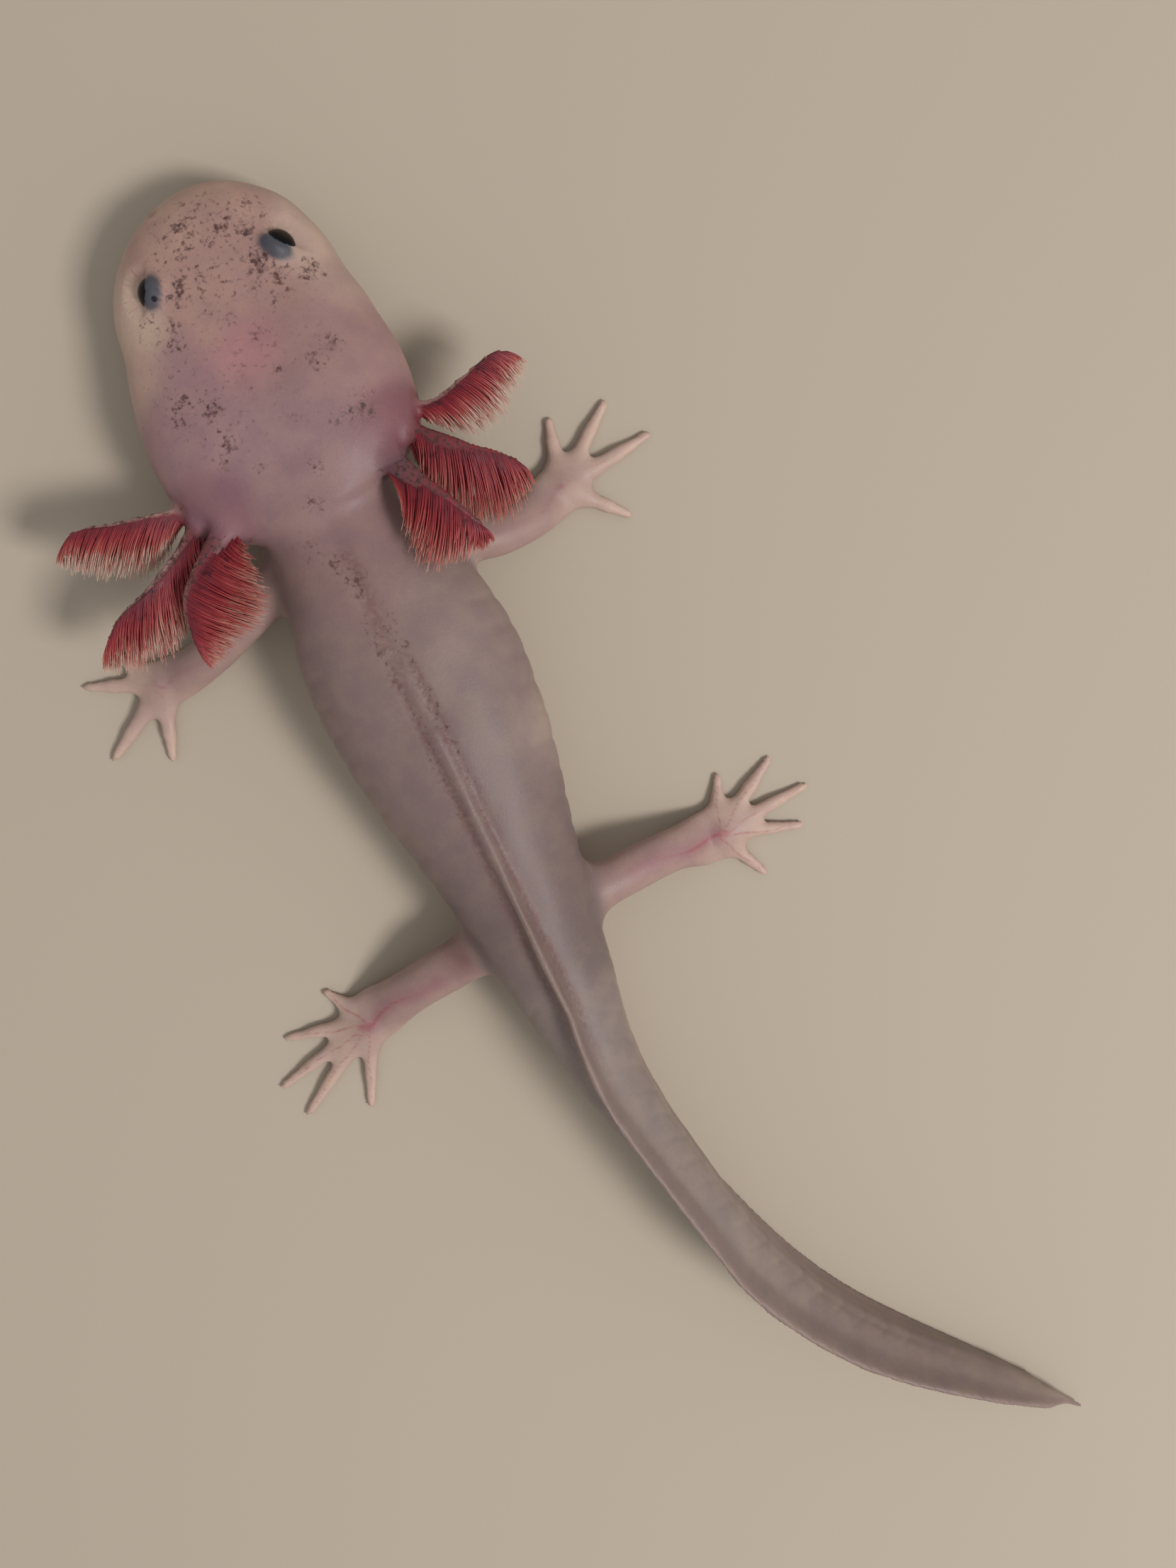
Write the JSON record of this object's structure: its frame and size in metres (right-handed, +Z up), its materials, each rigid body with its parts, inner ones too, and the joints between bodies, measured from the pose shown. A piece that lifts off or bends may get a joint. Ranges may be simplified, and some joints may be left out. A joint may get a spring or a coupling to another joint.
{
  "type": "axolotl",
  "caption": "Life-size still model of a young pale axolotl resting on its belly, head wide and flat, feathery gills spread, legs out to the sides, finned tail curving to its left.",
  "frame": {"origin": "on the floor, under the middle of the whole animal's box", "axes": "+Z up; the head points along -Y and the tail along +Y; the animal's left side is +X"},
  "size_m": [0.0578, 0.1408, 0.0144],
  "materials": {
    "skin": "moist pale pink skin with dark specks",
    "throat": "moist cream skin, plain",
    "fin": "thin moist skin, nearly see-through at the edge",
    "limb": "moist thin pink skin with red vessels below it",
    "gill": "soft wet blood-red filaments on mauve stalks",
    "eye": "wet black, clear gloss"
  },
  "bodies": {
    "root": {"head": "skin", "lower_jaw": "throat", "eye_left": "eye", "eye_right": "eye", "neck": "skin", "chest": "skin", "belly": "skin", "hips": "skin", "tail_base": "skin", "tail_middle": "skin", "tail_end": "skin", "dorsal_fin_trunk": "fin", "dorsal_fin_base": "fin", "dorsal_fin_middle": "fin", "dorsal_fin_end": "fin", "ventral_fin_base": "fin", "ventral_fin_middle": "fin", "ventral_fin_end": "fin", "upper_arm_fore_left": "limb", "forearm_fore_left": "limb", "hand_fore_left": "limb", "upper_arm_fore_right": "limb", "forearm_fore_right": "limb", "hand_fore_right": "limb", "thigh_hind_left": "limb", "shin_hind_left": "limb", "foot_hind_left": "limb", "thigh_hind_right": "limb", "shin_hind_right": "limb", "foot_hind_right": "limb", "gill_left_front": "gill", "gill_left_middle": "gill", "gill_left_rear": "gill", "gill_right_front": "gill", "gill_right_middle": "gill", "gill_right_rear": "gill"}
  },
  "joints": []
}
